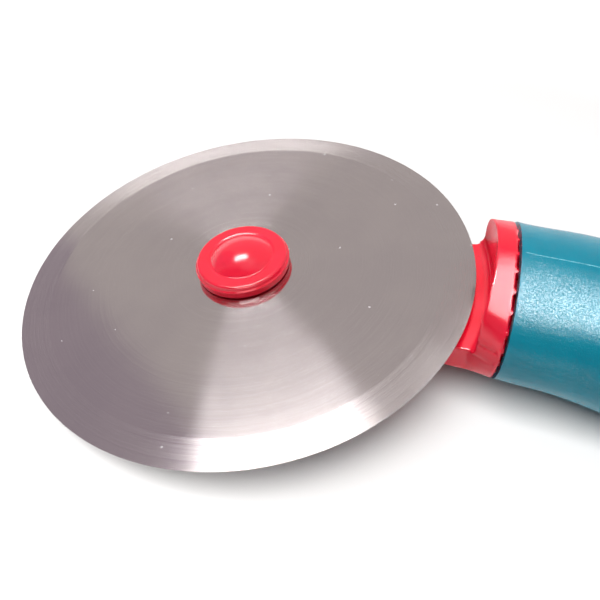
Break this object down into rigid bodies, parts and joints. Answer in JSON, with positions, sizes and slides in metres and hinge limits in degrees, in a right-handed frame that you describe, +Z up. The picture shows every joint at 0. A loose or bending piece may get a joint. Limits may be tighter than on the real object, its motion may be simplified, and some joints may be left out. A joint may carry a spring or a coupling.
{
  "type": "pizza cutter wheel",
  "caption": "Hand pizza cutter: bevelled steel wheel turning on a riveted hub, one-sided moulded neck under the wheel, oval plastic grip with a hanging hole.",
  "frame": {"origin": "middle of the tool's footprint on the table it lies on, as in the picture", "axes": "+X along the handle towards its tail, +Z up; the wheel's axis leans in the XZ plane because the tool rests on the wheel's rim and the grip's underside"},
  "size_m": [0.2004, 0.09, 0.03],
  "materials": {
    "wheel_steel": "concentric spun brushing, ground bevel",
    "plain_steel": "bright",
    "bush_plastic": "natural moulded",
    "red_gloss": "polished moulding",
    "red_plastic": "semi-gloss moulding",
    "teal_plastic": "fine-grained moulding"
  },
  "bodies": {
    "frame": {"neck_arm": "red_plastic", "handle": "teal_plastic", "hub_cap": "red_gloss", "axle_rivet": "plain_steel", "upper_washer": "plain_steel", "lower_washer": "plain_steel", "rivet_washer": "plain_steel"},
    "wheel": {"cutting_wheel": "wheel_steel", "hub_bush": "bush_plastic"}
  },
  "joints": [
    {"name": "wheel_spin", "type": "hinge", "parent": "frame", "child": "wheel", "pos_m": [-0.05623, 0, 0.0095], "axis": [-0.2098, 0, 0.9777], "continuous": true}
  ]
}
